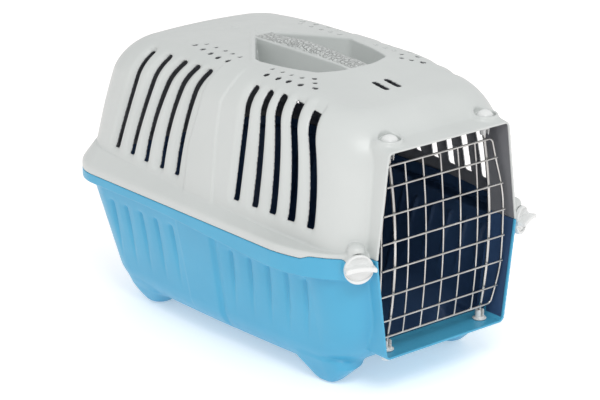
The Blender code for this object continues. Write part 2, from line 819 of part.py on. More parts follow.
def wire(name, points, radius, material, cyclic=False):
    """A round wire along points, as a curve with filled ends."""
    curve = bpy.data.curves.new(name, "CURVE")
    curve.dimensions = "3D"
    curve.bevel_depth = radius
    curve.bevel_resolution = 2
    curve.use_fill_caps = not cyclic
    spline = curve.splines.new("POLY")
    spline.points.add(len(points) - 1)
    for target, point in zip(spline.points, points):
        target.co = (*point, 1.0)
    spline.use_cyclic_u = cyclic
    return add_object(name, curve, material)


def levels_between(low, high, steps):
    return [lerp(low, high, i / steps) for i in range(steps + 1)]


def frame_half_width(height):
    low, high = FRAME_WAIST_LEVELS
    if height < low:
        return lerp(FRAME_BOTTOM_HALF, FRAME_MIDDLE_HALF, smoothstep(FRAME_BOTTOM, low, height) ** 0.8)
    if height > high:
        return lerp(FRAME_MIDDLE_HALF, FRAME_TOP_HALF, smoothstep(high, FRAME_TOP, height) ** 1.15)
    return FRAME_MIDDLE_HALF


def make_door(steel):
    """Frame, two rods and the lattice. Each wire is its own piece, in three layers of depth."""
    frame_y = DOOR_PLANE + FRAME_RADIUS + THIN_RADIUS + WIRE_GAP
    rod_y = rod_place(1)[1]
    corner = 0.006
    sides = levels_between(FRAME_BOTTOM + corner, FRAME_TOP - corner, 12)
    right = [
        (FRAME_BOTTOM_HALF - corner, FRAME_BOTTOM),
        (FRAME_BOTTOM_HALF - 0.3 * corner, FRAME_BOTTOM + 0.3 * corner),
        *[(frame_half_width(z), z) for z in sides],
        (FRAME_TOP_HALF - 0.3 * corner, FRAME_TOP - 0.3 * corner),
        (FRAME_TOP_HALF - corner, FRAME_TOP),
    ]
    outline = right + [(-x, z) for x, z in reversed(right)]
    points = [(x, frame_y - bow(z), z) for x, z in outline]
    wires = [wire("door_frame_wire", points, FRAME_RADIUS, steel, cyclic=True)]
    for side, name in ((-1, "door_latch_rod"), (1, "door_hinge_rod")):
        bent = levels_between(DOOR_MIDDLE - DOOR_HALF_HEIGHT, DOOR_MIDDLE + DOOR_HALF_HEIGHT, 12)
        heights = [ROD_BOTTOM, *bent, ROD_TOP]
        points = [(side * HINGE_X, rod_y - bow(z) - rod_extra_bow(z), z) for z in heights]
        wires.append(wire(name, points, ROD_RADIUS, steel))
    thin_low = FRAME_BOTTOM + FRAME_RADIUS + WIRE_GAP
    thin_high = FRAME_TOP - FRAME_RADIUS - WIRE_GAP
    for index, x in enumerate(THIN_POSITIONS):
        points = [(x, frame_y - bow(z), z) for z in levels_between(thin_low, thin_high, 10)]
        wires.append(wire(f"door_upright_wire_{index + 1}", points, THIN_RADIUS, steel))
    for index, z in enumerate(CROSS_LEVELS):
        reach = frame_half_width(z) + 0.0004
        points = [(lerp(-reach, reach, i / 2), DOOR_PLANE - bow(z), z) for i in range(3)]
        wires.append(wire(f"door_cross_wire_{index + 1}", points, THIN_RADIUS, steel))
    return wires


def main():
    clear_scene()
    grey = make_material("shell_grey", (0.68, 0.70, 0.70), 0.42)
    blue = make_material("tray_blue", (0.11, 0.43, 0.66), 0.40)
    white = make_material("lock_white", (0.80, 0.81, 0.80), 0.38)
    steel = make_material("door_steel", (0.78, 0.78, 0.76), 0.28, 1.0)
    make_tray(blue)
    hang("lid_axis", (0.0, RIM_REAR, PART_HEIGHT), make_upper_shell(grey))
    for side, word in ((-1, "left"), (1, "right")):
        knob = make_knob(side, f"{word}_turn_knob", white)
        cam = make_knob_cam(side, f"{word}_knob_cam", white)
        hang(f"{word}_knob_axis", knob_matrix(side).translation, knob, cam)
        latch = make_latch(side, f"{word}_door_latch", white)
        hang(f"{word}_latch_axis", (*rod_place(side), POCKET_FLOOR), latch)
        make_socket(side, f"{word}_rod_socket", white)
    hang("door_axis", (*rod_place(1), DOOR_MIDDLE), *make_door(steel))


main()
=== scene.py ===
"""Pet transport carrier: the looks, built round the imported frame.

The moulded shells are signed distance fields (metres, negative inside) that OpenVDB turns into meshes,
so every lip, rib and boss is blended as in a real moulding. +Z is up and the door faces -Y.
"""

import json
import math

import bpy
import numpy as np
import openvdb
from mathutils import Matrix, Vector


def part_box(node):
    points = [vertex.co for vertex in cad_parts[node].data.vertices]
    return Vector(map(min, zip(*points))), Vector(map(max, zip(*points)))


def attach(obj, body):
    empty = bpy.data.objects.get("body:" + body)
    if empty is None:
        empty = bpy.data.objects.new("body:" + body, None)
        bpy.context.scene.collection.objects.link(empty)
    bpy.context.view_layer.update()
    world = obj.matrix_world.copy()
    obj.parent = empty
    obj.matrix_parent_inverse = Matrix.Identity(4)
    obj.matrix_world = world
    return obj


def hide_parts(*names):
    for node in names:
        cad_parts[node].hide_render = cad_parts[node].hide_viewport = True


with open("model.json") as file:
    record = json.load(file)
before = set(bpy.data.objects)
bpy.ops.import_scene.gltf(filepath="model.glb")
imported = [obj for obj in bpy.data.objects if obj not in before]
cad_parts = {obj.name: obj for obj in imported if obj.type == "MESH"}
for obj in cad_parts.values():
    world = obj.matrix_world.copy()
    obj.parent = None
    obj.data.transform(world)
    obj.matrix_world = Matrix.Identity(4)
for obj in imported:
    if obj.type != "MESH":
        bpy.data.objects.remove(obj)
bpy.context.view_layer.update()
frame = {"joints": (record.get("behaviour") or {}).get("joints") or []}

SHELL_PITCH = 0.0010
LOCK_PITCH = 0.00032

# Places read from the frame
LID_LOW, LID_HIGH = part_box("upper_shell")
TRAY_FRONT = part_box("lower_tray")[0].y
PARTING = LID_LOW.z
JOINTS = {joint["name"]: joint for joint in frame["joints"]}
KNOB_PLACE = Vector(JOINTS["right_knob_turn"]["pos_m"])
KNOB_AXIS = Vector(JOINTS["right_knob_turn"]["axis"]).normalized()
ROD_X, ROD_Y = JOINTS["door_swing"]["pos_m"][:2]
RIM_HALF_WIDTH = LID_HIGH.x
RIM_REAR = LID_HIGH.y
HOOD_FRONT = LID_LOW.y

# Shell dimensions
WALL = 0.0026
GAP = 0.0004
LID_FOOT = 0.185
LID_HALF_WIDTH = 0.1405
LID_REAR = 0.2362
FRONT = -0.2300
FRONT_RADIUS = 0.061
REAR_RADIUS = 0.052
ROOF = 0.3185
ROOF_FILLET = 0.034
ROOF_CROWN = 0.005
WAIST = 0.0095
TRAY_HALF_WIDTH = 0.1475
TRAY_REAR = 0.2335
TRAY_LEAN = 0.205
TRAY_WALL_TOP = 0.146
TRAY_FLOOR = 0.0130
TRAY_FILLET = 0.034
CHIN_DEPTH = 0.060
RIM_FACE_TOP = 0.169
RIM_SHELF = 0.0152

# The six-sided opening round the door, widest at its middle
TUNNEL_LOW = 0.0485
TUNNEL_MIDDLE = 0.163
TUNNEL_HIGH = 0.278
TUNNEL_HALF_WIDTH = 0.1013
TUNNEL_END_HALF_WIDTH = 0.086
TUNNEL_RISE = 0.008
TUNNEL_CORNER = 0.0065
TUNNEL_BACK = -0.198
TUNNEL_WALL = 0.0024
HOOD_BACK = -0.212
LATCH_FLOOR = 0.2777
POCKET_UNDERSIDE = 0.2751

# Slots: (Y at the foot, Y at the head, how late it bends, height of the foot, half width)
SLOT_LOW = 0.188
SLOT_HEAD_HEIGHT = 0.309
SLOTS = (
    (0.1680, 0.1390, 1.20, 0.1933, 0.0036),
    (0.1390, 0.1070, 1.45, 0.1921, 0.0037),
    (0.1120, 0.0780, 2.00, 0.1906, 0.0038),
    (0.0830, 0.0545, 2.30, 0.1900, 0.0038),
    (0.0550, 0.0325, 2.40, 0.1893, 0.0038),
    (-0.0495, -0.0478, 2.00, 0.1874, 0.0043),
    (-0.0795, -0.0710, 2.00, 0.1875, 0.0046),
    (-0.1075, -0.0917, 2.00, 0.1870, 0.0049),
    (-0.1360, -0.1150, 2.00, 0.1865, 0.0053),
    (-0.1650, -0.1405, 2.00, 0.1858, 0.0053),
)
BAND_REAR_EDGE = ((0.172, 0.229, 0.2695, 0.312), (0.0310, 0.0330, 0.0236, 0.0158))
BAND_FRONT_EDGE = ((0.175, 0.244, 0.285, 0.306), (-0.0150, -0.0080, -0.0080, -0.0147))

# Round vent holes in one side of the roof: an outer row, then an inner one
OUTER_VENTS = (
    (0.0781, 0.0921), (0.0821, 0.0725), (0.0854, 0.0548), (0.0879, 0.0383), (0.0879, 0.0206),
    (0.0886, -0.0470), (0.0880, -0.0659), (0.0870, -0.0817), (0.0839, -0.0977), (0.0771, -0.1135),
)
INNER_VENTS = (
    (0.0679, 0.0841), (0.0690, 0.0660), (0.0693, 0.0486), (0.0708, 0.0345), (0.0722, 0.0196),
    (0.0743, -0.0391), (0.0736, -0.0556), (0.0735, -0.0701), (0.0713, -0.0846), (0.0689, -0.1034),
    (0.0623, -0.0946),
)
OUTER_VENT_RADIUS = 0.0034
INNER_VENT_RADIUS = 0.0027

# Handle
GRIP_HALF_WIDTH = 0.0145
GRIP_REAR = 0.072
GRIP_FRONT = -0.096
GRIP_UNDERSIDE = 0.298
PIT_CORNERS = (
    (0.0125, 0.0660), (0.0680, -0.0030), (0.0615, -0.0490),
    (0.0500, -0.0830), (0.0250, -0.0930), (0.0125, -0.0935),
)
PIT_LENGTH = 0.1595
PIT_DEPTH = 0.030

# Strap slots and the stud on the roof
STRAP_X = 0.0085
STRAP_Y = -0.140
STRAP_REACH = 0.0085
STRAP_HALF_WIDTH = 0.0036
STUD_Y = 0.1180
STUD_Z = 0.3205
STUD_RADIUS = 0.0068

# Tray
REAR_FLUTES = (0.168, 0.1415, 0.1138, 0.0857, 0.0571)
FRONT_FLUTES = (-0.0448, -0.0750, -0.1040, -0.1326, -0.1610)
FLUTE_TOP = 0.132
FOOT_X = 0.0890
FOOT_Y = 0.1520
FOOT_TOP = 0.047

# Locks
KNOB_RADIUS = 0.0160
KNOB_THICKNESS = 0.0050
WING_REACH = 0.0168
WING_TOP = 0.0098
WING_HALF_THICKNESS = 0.0027
STEM_RADIUS = 0.0040
BOSS_RADIUS = 0.0156
KNOB_ROOM = 0.0166
STEM_ROOM = 0.0045
LATCH_RADIUS = 0.0095
LATCH_STEM_RADIUS = 0.0045
LATCH_COLLAR_RADIUS = 0.0055
BUSH_RADIUS = 0.0060
BUSH_FLANGE_RADIUS = 0.0077
BUSH_CUP_RADIUS = 0.0053
CAM_RADIUS = 0.0052
CAM_REACH = 0.0066

# Door
DOOR_MIDDLE = 0.1605
DOOR_HALF_HEIGHT = 0.0980
DOOR_BOW = 0.0078
DOOR_PLANE = -0.2265
FRAME_BOTTOM = 0.0675
FRAME_TOP = 0.2570
FRAME_CORNER = 0.006
FRAME_HALF_WIDTHS = (0.0805, 0.0880, 0.0765)
FRAME_WIDEST = (0.120, 0.178)
FRAME_RADIUS = 0.00125
THIN_RADIUS = 0.0010
ROD_RADIUS = 0.00185
ROD_HALF_HEIGHT = 0.0925
ROD_EXTRA_BOW = 0.0027

# Camera
AZIMUTH = -39.95
ELEVATION = 19.28
SENSOR = 36
LENS = 141.36
LOOK_AT = (0, 0, 0.16)
SHIFT = (-0.0023, -0.0151)
DISTANCE = 2.6585


# ---------------------------------------------------------------- distance fields


def smoothstep(low, high, value):
    t = np.clip((value - low) / (high - low), 0.0, 1.0)
    return t * t * (3 - 2 * t)


def smooth_min(a, b, k):
    h = np.clip(0.5 + 0.5 * (b - a) / k, 0.0, 1.0)
    return b + (a - b) * h - k * h * (1 - h)


def smooth_max(a, b, k):
    return -smooth_min(-a, -b, k)


def round_max(a, b, radius):
    """The intersection of two bodies, with its edge rounded to a radius."""
    corner = np.hypot(np.maximum(a + radius, 0), np.maximum(b + radius, 0))
    return np.minimum(-radius, np.maximum(a, b)) + corner


class Field:
    """Distances on a grid. A mirrored field holds the half with X >= 0."""

    def __init__(self, low, high, pitch, mirrored=False):
        self.pitch = pitch
        self.mirrored = mirrored
        self.low = [0.0 if mirrored else low[0], low[1], low[2]]
        counts = [int(math.ceil((h - l) / pitch)) + 1 for l, h in zip(self.low, high)]
        axes = [l + pitch * np.arange(n, dtype=np.float32) for l, n in zip(self.low, counts)]
        self.x = axes[0][:, None, None].astype(np.float32)
        self.y = axes[1][None, :, None].astype(np.float32)
        self.z = axes[2][None, None, :].astype(np.float32)
        self.d = np.full(counts, 1.0, np.float32)

    def window(self, low, high):
        """The slices of a box, and its grid of coordinates."""
        cuts = []
        for start, l, h, n in zip(self.low, low, high, self.d.shape):
            first = max(int((l - start) / self.pitch), 0)
            last = min(int((h - start) / self.pitch) + 2, n)
            cuts.append(slice(first, max(last, first)))
        a, b, c = cuts
        return (a, b, c), self.x[a], self.y[:, b], self.z[:, :, c]

    def change(self, low, high, rule, k=0.0015, cut=False):
        """Adds, or cuts away, the body that a rule gives inside a box."""
        cuts, x, y, z = self.window(low, high)
        if self.d[cuts].size == 0:
            return
        body = rule(x, y, z)
        if cut:
            self.d[cuts] = smooth_max(self.d[cuts], -body, k)
        else:
            self.d[cuts] = smooth_min(self.d[cuts], body, k)

    def whole(self, values):
        return np.concatenate((values[:0:-1], values)) if self.mirrored else values

    def mesh(self, name, inner=None):
        """The surface as a mesh.

        inner is a field that is negative behind the outer skin: the faces there get material slot 1, which
        holds a darker inside plastic as painted shade.
        """
        limit = 4 * self.pitch
        grid = openvdb.FloatGrid()
        grid.background = limit
        grid.copyFromArray(np.ascontiguousarray(np.clip(self.whole(self.d), -limit, limit)))
        points, quads = grid.convertToQuads(0.0)
        low = np.array(self.low, np.float32)
        if self.mirrored:
            low[0] = -self.pitch * (self.d.shape[0] - 1)
        index = np.rint(points[quads].mean(axis=1)).astype(int)
        mesh = bpy.data.meshes.new(name)
        mesh.vertices.add(len(points))
        mesh.vertices.foreach_set("co", (points * self.pitch + low).astype(np.float32).ravel())
        mesh.loops.add(4 * len(quads))
        mesh.loops.foreach_set("vertex_index", quads[:, ::-1].astype(np.int32).ravel())
        mesh.polygons.add(len(quads))
        mesh.polygons.foreach_set("loop_start", np.arange(0, 4 * len(quads), 4, dtype=np.int32))
        if inner is not None:
            values = self.whole(inner)
            top = np.array(values.shape) - 1
            a, b, c = np.minimum(index, top).T
            mesh.polygons.foreach_set("material_index", (values[a, b, c] < 0).astype(np.int32))
        mesh.update(calc_edges=True)
        mesh.validate()
        mesh.shade_smooth()
        return mesh


def box_distance(centre, half, radius=0.0):
    """A rule for a box with rounded edges."""

    def rule(x, y, z):
        q = [np.abs(v - c) - h + radius for v, c, h in zip((x, y, z), centre, half)]
        outside = np.sqrt(sum(np.maximum(v, 0) ** 2 for v in q))
        return outside + np.minimum(np.maximum(np.maximum(q[0], q[1]), q[2]), 0) - radius

    return rule


def ball(centre, radii):
    """A rule for an ellipsoid. Its distance is exact only near the surface."""

    def rule(x, y, z):
        parts = [(v - c) / r for v, c, r in zip((x, y, z), centre, radii)]
        length = np.sqrt(sum(p * p for p in parts)) + 1e-6
        slope = np.sqrt(sum((p / r) ** 2 for p, r in zip(parts, radii))) + 1e-6
        return (length - 1) * length / slope

    return rule


def upright_rod(x0, y0, radius, low, high, rounding=0.0005):
    """A rule for a vertical cylinder."""

    def rule(x, y, z):
        side = np.hypot(x - x0, y - y0) - radius
        ends = np.maximum(low - z, z - high)
        return round_max(side, ends, rounding)

    return rule


# ---------------------------------------------------------------- shell outlines


def round_corner(qx, qy, radius):
    """Distance to a quarter of a plan, from how far X and Y are past the centre of its corner."""
    return np.hypot(np.maximum(qx, 0), np.maximum(qy, 0)) + np.minimum(np.maximum(qx, qy), 0) - radius


def plan_distance(x, y, half_width, front, rear, front_radius, rear_radius):
    """Distance to a plan outline with round corners, for X >= 0."""
    near = round_corner(x - half_width + front_radius, front + front_radius - y, front_radius)
    far = round_corner(x - half_width + rear_radius, y - rear + rear_radius, rear_radius)
    return np.maximum(near, far)


def side_waist(y):
    """How far the sides draw in towards the front, from 0 at the middle."""
    return np.maximum((0.060 - np.maximum(y, FRONT + FRONT_RADIUS)) / 0.230, 0.0) ** 2


def lid_half_width(y, z):
    rise = z - LID_FOOT
    return LID_HALF_WIDTH - 0.18 * rise - WAIST * side_waist(y) * (1 - 0.5 * rise / (ROOF - LID_FOOT))


def roof_edge(y):
    """Height of the roof without its crown. It falls away towards both ends."""
    back = np.maximum((y - 0.060) / (LID_REAR - 0.060), 0.0)
    return ROOF - 0.016 * back**2 - 0.012 * smoothstep(-0.075, -0.205, y)


def roof_height(x, y):
    across = np.clip(1 - (x / 0.105) ** 2, 0.0, 1.0)
    return roof_edge(y) + ROOF_CROWN * across * (1 - smoothstep(-0.075, -0.140, y))


def fold_height(y):
    """Where the sloping top of the rim meets the wall. It climbs towards the rear."""
    return 0.1742 + 0.0445 * y + 0.0025 * smoothstep(0.13, 0.21, y)


def parting_height(y):
    """Where the two shells meet. It steps up beside the knobs."""
    return PARTING + 0.0040 * smoothstep(-0.172, -0.186, y)


def rim_half_width(y, wall_half_width):
    """Half the rim's width. It stands out less beside the door."""
    share = 0.45 + 0.55 * smoothstep(-0.215, -0.130, y)
    return wall_half_width + (RIM_HALF_WIDTH - wall_half_width) * share


def rim_distance(x, y):
    half = rim_half_width(y, LID_HALF_WIDTH - WAIST * side_waist(y))
    return plan_distance(x, y, half, FRONT, RIM_REAR, FRONT_RADIUS, REAR_RADIUS + 0.005)


def tunnel_distance(x, z, y, inset):
    """The six-sided opening round the door. Its ceiling rises towards the rear."""
    rise = TUNNEL_RISE * np.maximum(y - HOOD_FRONT, 0.0) / (TUNNEL_BACK - HOOD_FRONT)
    low, high = TUNNEL_LOW + inset, TUNNEL_HIGH - inset + rise
    half = TUNNEL_HALF_WIDTH - inset
    flare = TUNNEL_END_HALF_WIDTH - TUNNEL_HALF_WIDTH
    lower = x - half - (TUNNEL_MIDDLE - z) * flare / (TUNNEL_MIDDLE - TUNNEL_LOW)
    upper = x - half - (z - TUNNEL_MIDDLE) * flare / (TUNNEL_HIGH - TUNNEL_MIDDLE)
    sides = smooth_max(lower, upper, 0.001)
    return round_max(sides, np.maximum(low - z, z - high), TUNNEL_CORNER - inset)


def hood_rule(x, y, z):
    """The solid block in front that the tunnel goes through."""
    return round_max(tunnel_distance(x, z, y, 0.0), np.maximum(HOOD_FRONT - y, y - HOOD_BACK), 0.0008)


def tunnel_wall_rule(x, y, z):
    """The thin wall of the tunnel, from the front face to its rear edge."""
    ring = np.maximum(tunnel_distance(x, z, y, 0.0), -tunnel_distance(x, z, y, TUNNEL_WALL))
    return round_max(ring, np.maximum(HOOD_FRONT - y, y - TUNNEL_BACK), 0.0008)


def tunnel_space_rule(x, y, z):
    return tunnel_distance(x, z, y, TUNNEL_WALL)


def line_tunnel(field, low_z, high_z):
    """Adds the tunnel's wall between two heights, and clears the way through it."""
    low = (0.0, HOOD_FRONT - 0.004, low_z)
    field.change(low, (0.115, TUNNEL_BACK + 0.004, high_z), tunnel_wall_rule, 0.0010)
    field.change(low, (0.115, TUNNEL_BACK + 0.02, high_z), tunnel_space_rule, 0.0010, cut=True)


# ---------------------------------------------------------------- relief on the lid


def slot_middle(z, slot):
    """Y of a slot's middle line at a height, and how much its slant widens it along Y."""
    foot, head, bend = slot[:3]
    share = np.clip((z - SLOT_LOW) / (SLOT_HEAD_HEIGHT - SLOT_LOW), 0.0001, 1.0)
    slope = (head - foot) * bend * share ** (bend - 1) / (SLOT_HEAD_HEIGHT - SLOT_LOW)
    return foot + (head - foot) * share**bend, np.sqrt(1 + slope**2)


def lid_relief(y, z):
    """How far the side wall stands back: hollows round the slots, with a raised band between the groups."""
    hollow = np.zeros(np.broadcast_shapes(y.shape, z.shape), np.float32)
    for slot in SLOTS:
        middle, slant = slot_middle(z, slot)
        across = np.maximum(np.abs(y - middle) / slant - 0.8 * slot[4], 0.0)
        beyond = np.maximum(np.maximum(slot[3] + 0.004 - z, z - SLOT_HEAD_HEIGHT + 0.004), 0.0)
        depth = 0.0055 if slot[0] > 0 else 0.0042
        hollow = np.maximum(hollow, depth * np.exp(-((across / 0.0046) ** 2) - (beyond / 0.0058) ** 2))
    rear_edge = np.interp(z, *BAND_REAR_EDGE)
    front_edge = np.interp(z, *BAND_FRONT_EDGE)
    band = smoothstep(front_edge - 0.0035, front_edge, y) * smoothstep(rear_edge + 0.0035, rear_edge, y)
    fade = smoothstep(fold_height(y) - 0.004, fold_height(y) + 0.004, z) * smoothstep(0.330, 0.308, z)
    return hollow - 0.0020 * band * fade


def slot_cut(slot):
    """A rule for the hole of one slot."""
    foot_height, half_width = slot[3:]

    def rule(x, y, z):
        middle, slant = slot_middle(z, slot)
        across = np.abs(y - middle) / slant - half_width
        ends = np.maximum(foot_height - z, z - SLOT_HEAD_HEIGHT)
        radius = np.where(z < 0.25, 0.0014, half_width - 0.0006)
        depth = 0.098 - x + np.maximum(0.272 - z, 0.0) * 0.24
        return np.maximum(round_max(across, ends, radius), depth)

    return rule


def pit_plan(x, y):
    """Distance to a finger pit's outline, for X >= 0."""
    distance = np.full(np.broadcast_shapes(x.shape, y.shape), -1.0, np.float32)
    for (ax, ay), (bx, by) in zip(PIT_CORNERS, PIT_CORNERS[1:]):
        length = math.hypot(bx - ax, by - ay)
        side = ((x - ax) * (ay - by) + (y - ay) * (bx - ax)) / length
        distance = smooth_max(distance, side, 0.004)
    return distance


def pit_rule(x, y, z):
    """A finger pit beside the grip: deep at the rear, and scooped up towards the front."""
    t = np.clip((GRIP_REAR - 0.006 - y) / PIT_LENGTH, 0.0, 1.0)
    plan = np.maximum(pit_plan(x, y), GRIP_HALF_WIDTH - 0.0005 - x)
    floor = roof_edge(y) - PIT_DEPTH * (1 - t**2.6) - 0.003
    lean = 0.10 * np.maximum(roof_edge(y) - z, 0.0)
    return round_max(plan + lean, floor - z, 0.005)


def pit_ridge(x, y, z):
    """The rounded ridge along the pit's rear edge."""
    away = np.abs(pit_plan(x, y) - 0.0035)
    along = np.maximum(-0.004 - y, 0.0)
    return np.sqrt(away**2 + (z - roof_height(x, y) + 0.0016) ** 2 + (0.6 * along) ** 2) - 0.0030


def grip_rule(x, y, z):
    """The bar that a hand goes round, arched along its length and crowned across it."""
    t = np.clip((y - GRIP_FRONT) / (GRIP_REAR - GRIP_FRONT), 0.0, 1.0)
    arch = np.maximum(np.sin(math.pi * t), 0.0) ** 0.7
    level = np.maximum(roof_edge(y) - 0.0010, 0.3175 + 0.0060 * arch)
    crown = 0.0070 * np.clip(1 - (x / GRIP_HALF_WIDTH) ** 2, 0.0, 1.0) * (0.35 + 0.65 * arch)
    top = level + crown
    width = GRIP_HALF_WIDTH - 0.0010 * arch
    return round_max(x - width, np.maximum(z - top, GRIP_UNDERSIDE - z) * 0.9, 0.0030)


def knob_coordinates(x, y, z):
    """Across, up and out, in the frame of the right-hand knob."""
    dx, dy = x - KNOB_PLACE.x, y - KNOB_PLACE.y
    out = dx * KNOB_AXIS.x + dy * KNOB_AXIS.y
    across = dx * -KNOB_AXIS.y + dy * KNOB_AXIS.x
    return across, z - KNOB_PLACE.z, out


def boss_rule(x, y, z):
    """The round boss behind a knob, shared by both shells."""
    across, rise, out = knob_coordinates(x, y, z)
    return round_max(np.hypot(across, rise) - BOSS_RADIUS, np.maximum(out + 0.0054, -0.036 - out), 0.0016)


def lug_rule(x, y, z):
    """The bulge that carries the boss up into the lid's wall."""
    across, rise, out = knob_coordinates(x, y, z)
    return ball((0.0, 0.0170, -0.0130), (0.0095, 0.0080, 0.0100))(across, rise, out)


def knob_space_rule(x, y, z):
    across, rise, out = knob_coordinates(x, y, z)
    return np.maximum(np.hypot(across, rise) - KNOB_ROOM, -0.0052 - out)


def stem_space_rule(x, y, z):
    across, rise, _ = knob_coordinates(x, y, z)
    return np.hypot(across, rise) - STEM_ROOM


def clear_knob(field):
    """Cuts the room for a knob's disc, and the bore for its stem."""
    field.change((0.090, -0.250, 0.140), (0.150, -0.200, 0.182), knob_space_rule, 0.0004, cut=True)
    field.change((0.090, -0.245, 0.150), (0.140, -0.190, 0.170), stem_space_rule, 0.0004, cut=True)


def strap_rule(x, y, z):
    """The slot beside the middle of the roof that a strap's loop goes through."""
    along = np.maximum(np.abs(y - STRAP_Y) - STRAP_REACH, 0.0)
    return np.hypot(x - STRAP_X, along) - STRAP_HALF_WIDTH + 0 * z


def vent_holes():
    """Centres and radii of the round holes on one side of the roof."""
    outer = [(x, y, OUTER_VENT_RADIUS) for x, y in OUTER_VENTS]
    return outer + [(x, y, INNER_VENT_RADIUS) for x, y in INNER_VENTS]


def latch_boss_rule(x, y, z):
    """The round boss that holds the pocket of a door latch."""
    return round_max(np.hypot(x - ROD_X, y - ROD_Y - 0.002) - 0.0158, z - 0.2858, 0.0025)


def make_lid_mesh():
    low, high = (0, HOOD_FRONT - 0.004, PARTING - 0.004), (RIM_HALF_WIDTH + 0.004, RIM_REAR + 0.004, 0.336)
    field = Field(low, high, SHELL_PITCH, mirrored=True)
    x, y, z = field.x, field.y, field.z
    rise = z - LID_FOOT
    rear = LID_REAR - 0.08 * rise - rise * np.maximum(rise, 0.0)
    wall = plan_distance(x, y, lid_half_width(y, z), FRONT + 0.05 * rise, rear, FRONT_RADIUS, REAR_RADIUS)
    fillet = ROOF_FILLET + 0.016 * smoothstep(-0.140, -0.210, y)
    roof = (z - roof_height(x, y)) * 0.985
    field.d[:] = round_max(wall, roof, fillet) + lid_relief(y, z) * smoothstep(0.080, 0.096, x)
    del wall, roof
    rim = rim_distance(x, y)
    steepness = (fold_height(y) + 0.003 - RIM_FACE_TOP) / RIM_SHELF
    top = (z - RIM_FACE_TOP + steepness * np.maximum(rim, -RIM_SHELF)) / np.sqrt(1 + steepness**2)
    rim = np.maximum(round_max(rim, top, 0.0022), 0.150 - z)
    field.d[:] = smooth_min(field.d, rim, 0.0022)
    del rim, top
    field.change((0, -0.02, 0.29), (0.085, 0.085, 0.34), pit_ridge, 0.0030)
    field.change((0, -0.10, 0.27), (0.080, 0.075, 0.34), pit_rule, 0.0018, cut=True)
    field.change((0, -0.105, 0.29), (0.030, 0.080, 0.34), grip_rule, 0.0015)
    field.change((0.080, -0.246, 0.150), (0.150, -0.170, 0.190), boss_rule, 0.0050)
    field.change((0.080, -0.246, 0.160), (0.150, -0.190, 0.195), lug_rule, 0.0030)
    hood_low, hood_high = (0.0, HOOD_FRONT - 0.004, 0.150), (0.115, TUNNEL_BACK + 0.01, 0.300)
    field.change(hood_low, hood_high, hood_rule, 0.0030)
    field.change((0.050, -0.250, 0.270), (0.090, -0.200, 0.320), latch_boss_rule, 0.0050)
    pocket = upright_rod(ROD_X, ROD_Y, 0.0118, LATCH_FLOOR, 0.36, 0.0010)
    field.change((0.050, -0.250, 0.272), (0.090, -0.200, 0.320), pocket, 0.0012, cut=True)
    pedestal = upright_rod(0, STUD_Y, 0.0070, 0.30, STUD_Z + 0.0012)
    stud = ball((0.0, STUD_Y, STUD_Z), (STUD_RADIUS, STUD_RADIUS, 0.0030))
    for body, k in ((pedestal, 0.0006), (stud, 0.0004)):
        field.change((0, 0.10, 0.300), (0.020, 0.135, 0.330), body, k)
    # Faces behind the outer skin, the tunnel's too, get the darker inside plastic: painted shade.
    inner = field.d + 0.5 * WALL
    field.d[:] = smooth_max(field.d, -(field.d + WALL), 0.0006)
    line_tunnel(field, 0.150, 0.300)
    pocket_floor = upright_rod(ROD_X, ROD_Y, 0.0130, POCKET_UNDERSIDE, LATCH_FLOOR)
    field.change((0.050, -0.240, 0.270), (0.090, -0.200, 0.290), pocket_floor, 0.0010)
    rod_hole = upright_rod(ROD_X, ROD_Y, 0.0049, 0.26, 0.30)
    field.change((0.060, -0.236, 0.266), (0.078, -0.206, 0.290), rod_hole, 0.0003, cut=True)
    for slot in SLOTS:
        low, high = min(slot[:2]) - 0.014, max(slot[:2]) + 0.014
        field.change((0.080, low, 0.178), (0.160, high, 0.320), slot_cut(slot), 0.0014, cut=True)
    for place_x, place_y, radius in vent_holes():
        hole = upright_rod(place_x, place_y, radius, 0.28, 0.35)
        edge = radius + 0.004
        low, high = (place_x - edge, place_y - edge, 0.29), (place_x + edge, place_y + edge, 0.335)
        field.change(low, high, hole, 0.0008, cut=True)
    field.change((0, -0.160, 0.290), (0.022, -0.120, 0.335), strap_rule, 0.0012, cut=True)
    clear_knob(field)
    field.d[:] = round_max(field.d, parting_height(y) - z, 0.0006)
    return field.mesh("upper_shell_moulding", inner)


# ---------------------------------------------------------------- tray


def flute_profile(away):
    """A sharp groove with soft shoulders, from the distance to its middle line."""
    return np.exp(-((away / 0.0026) ** 2)) + 0.45 * np.exp(-((away / 0.0085) ** 2))


def tray_relief(y, z):
    """How far the tray's side stands back: grooves that fade downwards, and the step before the wide band."""
    hollow = np.zeros(np.broadcast_shapes(y.shape, z.shape), np.float32)
    drop = FLUTE_TOP - z
    for place in REAR_FLUTES:
        fade = smoothstep(-0.003, 0.004, drop) * smoothstep(0.085, 0.010, drop)
        hollow = np.maximum(hollow, 0.95 * flute_profile(y - place) * fade)
    for place in FRONT_FLUTES:
        fade = smoothstep(0.000, 0.006, drop) * smoothstep(0.085, 0.012, drop)
        hollow = np.maximum(hollow, 1.1 * flute_profile(y - place - 0.11 * drop) * fade)
    edge = y + 0.0163 - 0.065 * drop
    step = smoothstep(0.004, -0.004, edge) + 0.55 * np.exp(-(((edge + 0.002) / 0.0045) ** 2))
    rear_edge = smoothstep(0.0425, 0.0450, y) * 0.30
    low = smoothstep(0.012, 0.035, z)
    return 0.0026 * hollow + (0.0022 * step + 0.0014 * rear_edge) * low


def foot_rule(foot_x, foot_y):
    """A rule for a foot: a cone that is trimmed by the tray's leaning side."""
    def rule(x, y, z):
        plan = (np.hypot(x - foot_x, y - foot_y) - 0.0125 - 1.1 * np.minimum(z, 0.022)) * 0.70
        limit = tray_wall(x, y, np.maximum(z, FOOT_TOP)) + 0.0010 + 0.42 * np.maximum(FOOT_TOP - z, 0.0)
        return round_max(round_max(plan, limit, 0.005), np.maximum(-z, z - 0.034), 0.0045)

    return rule


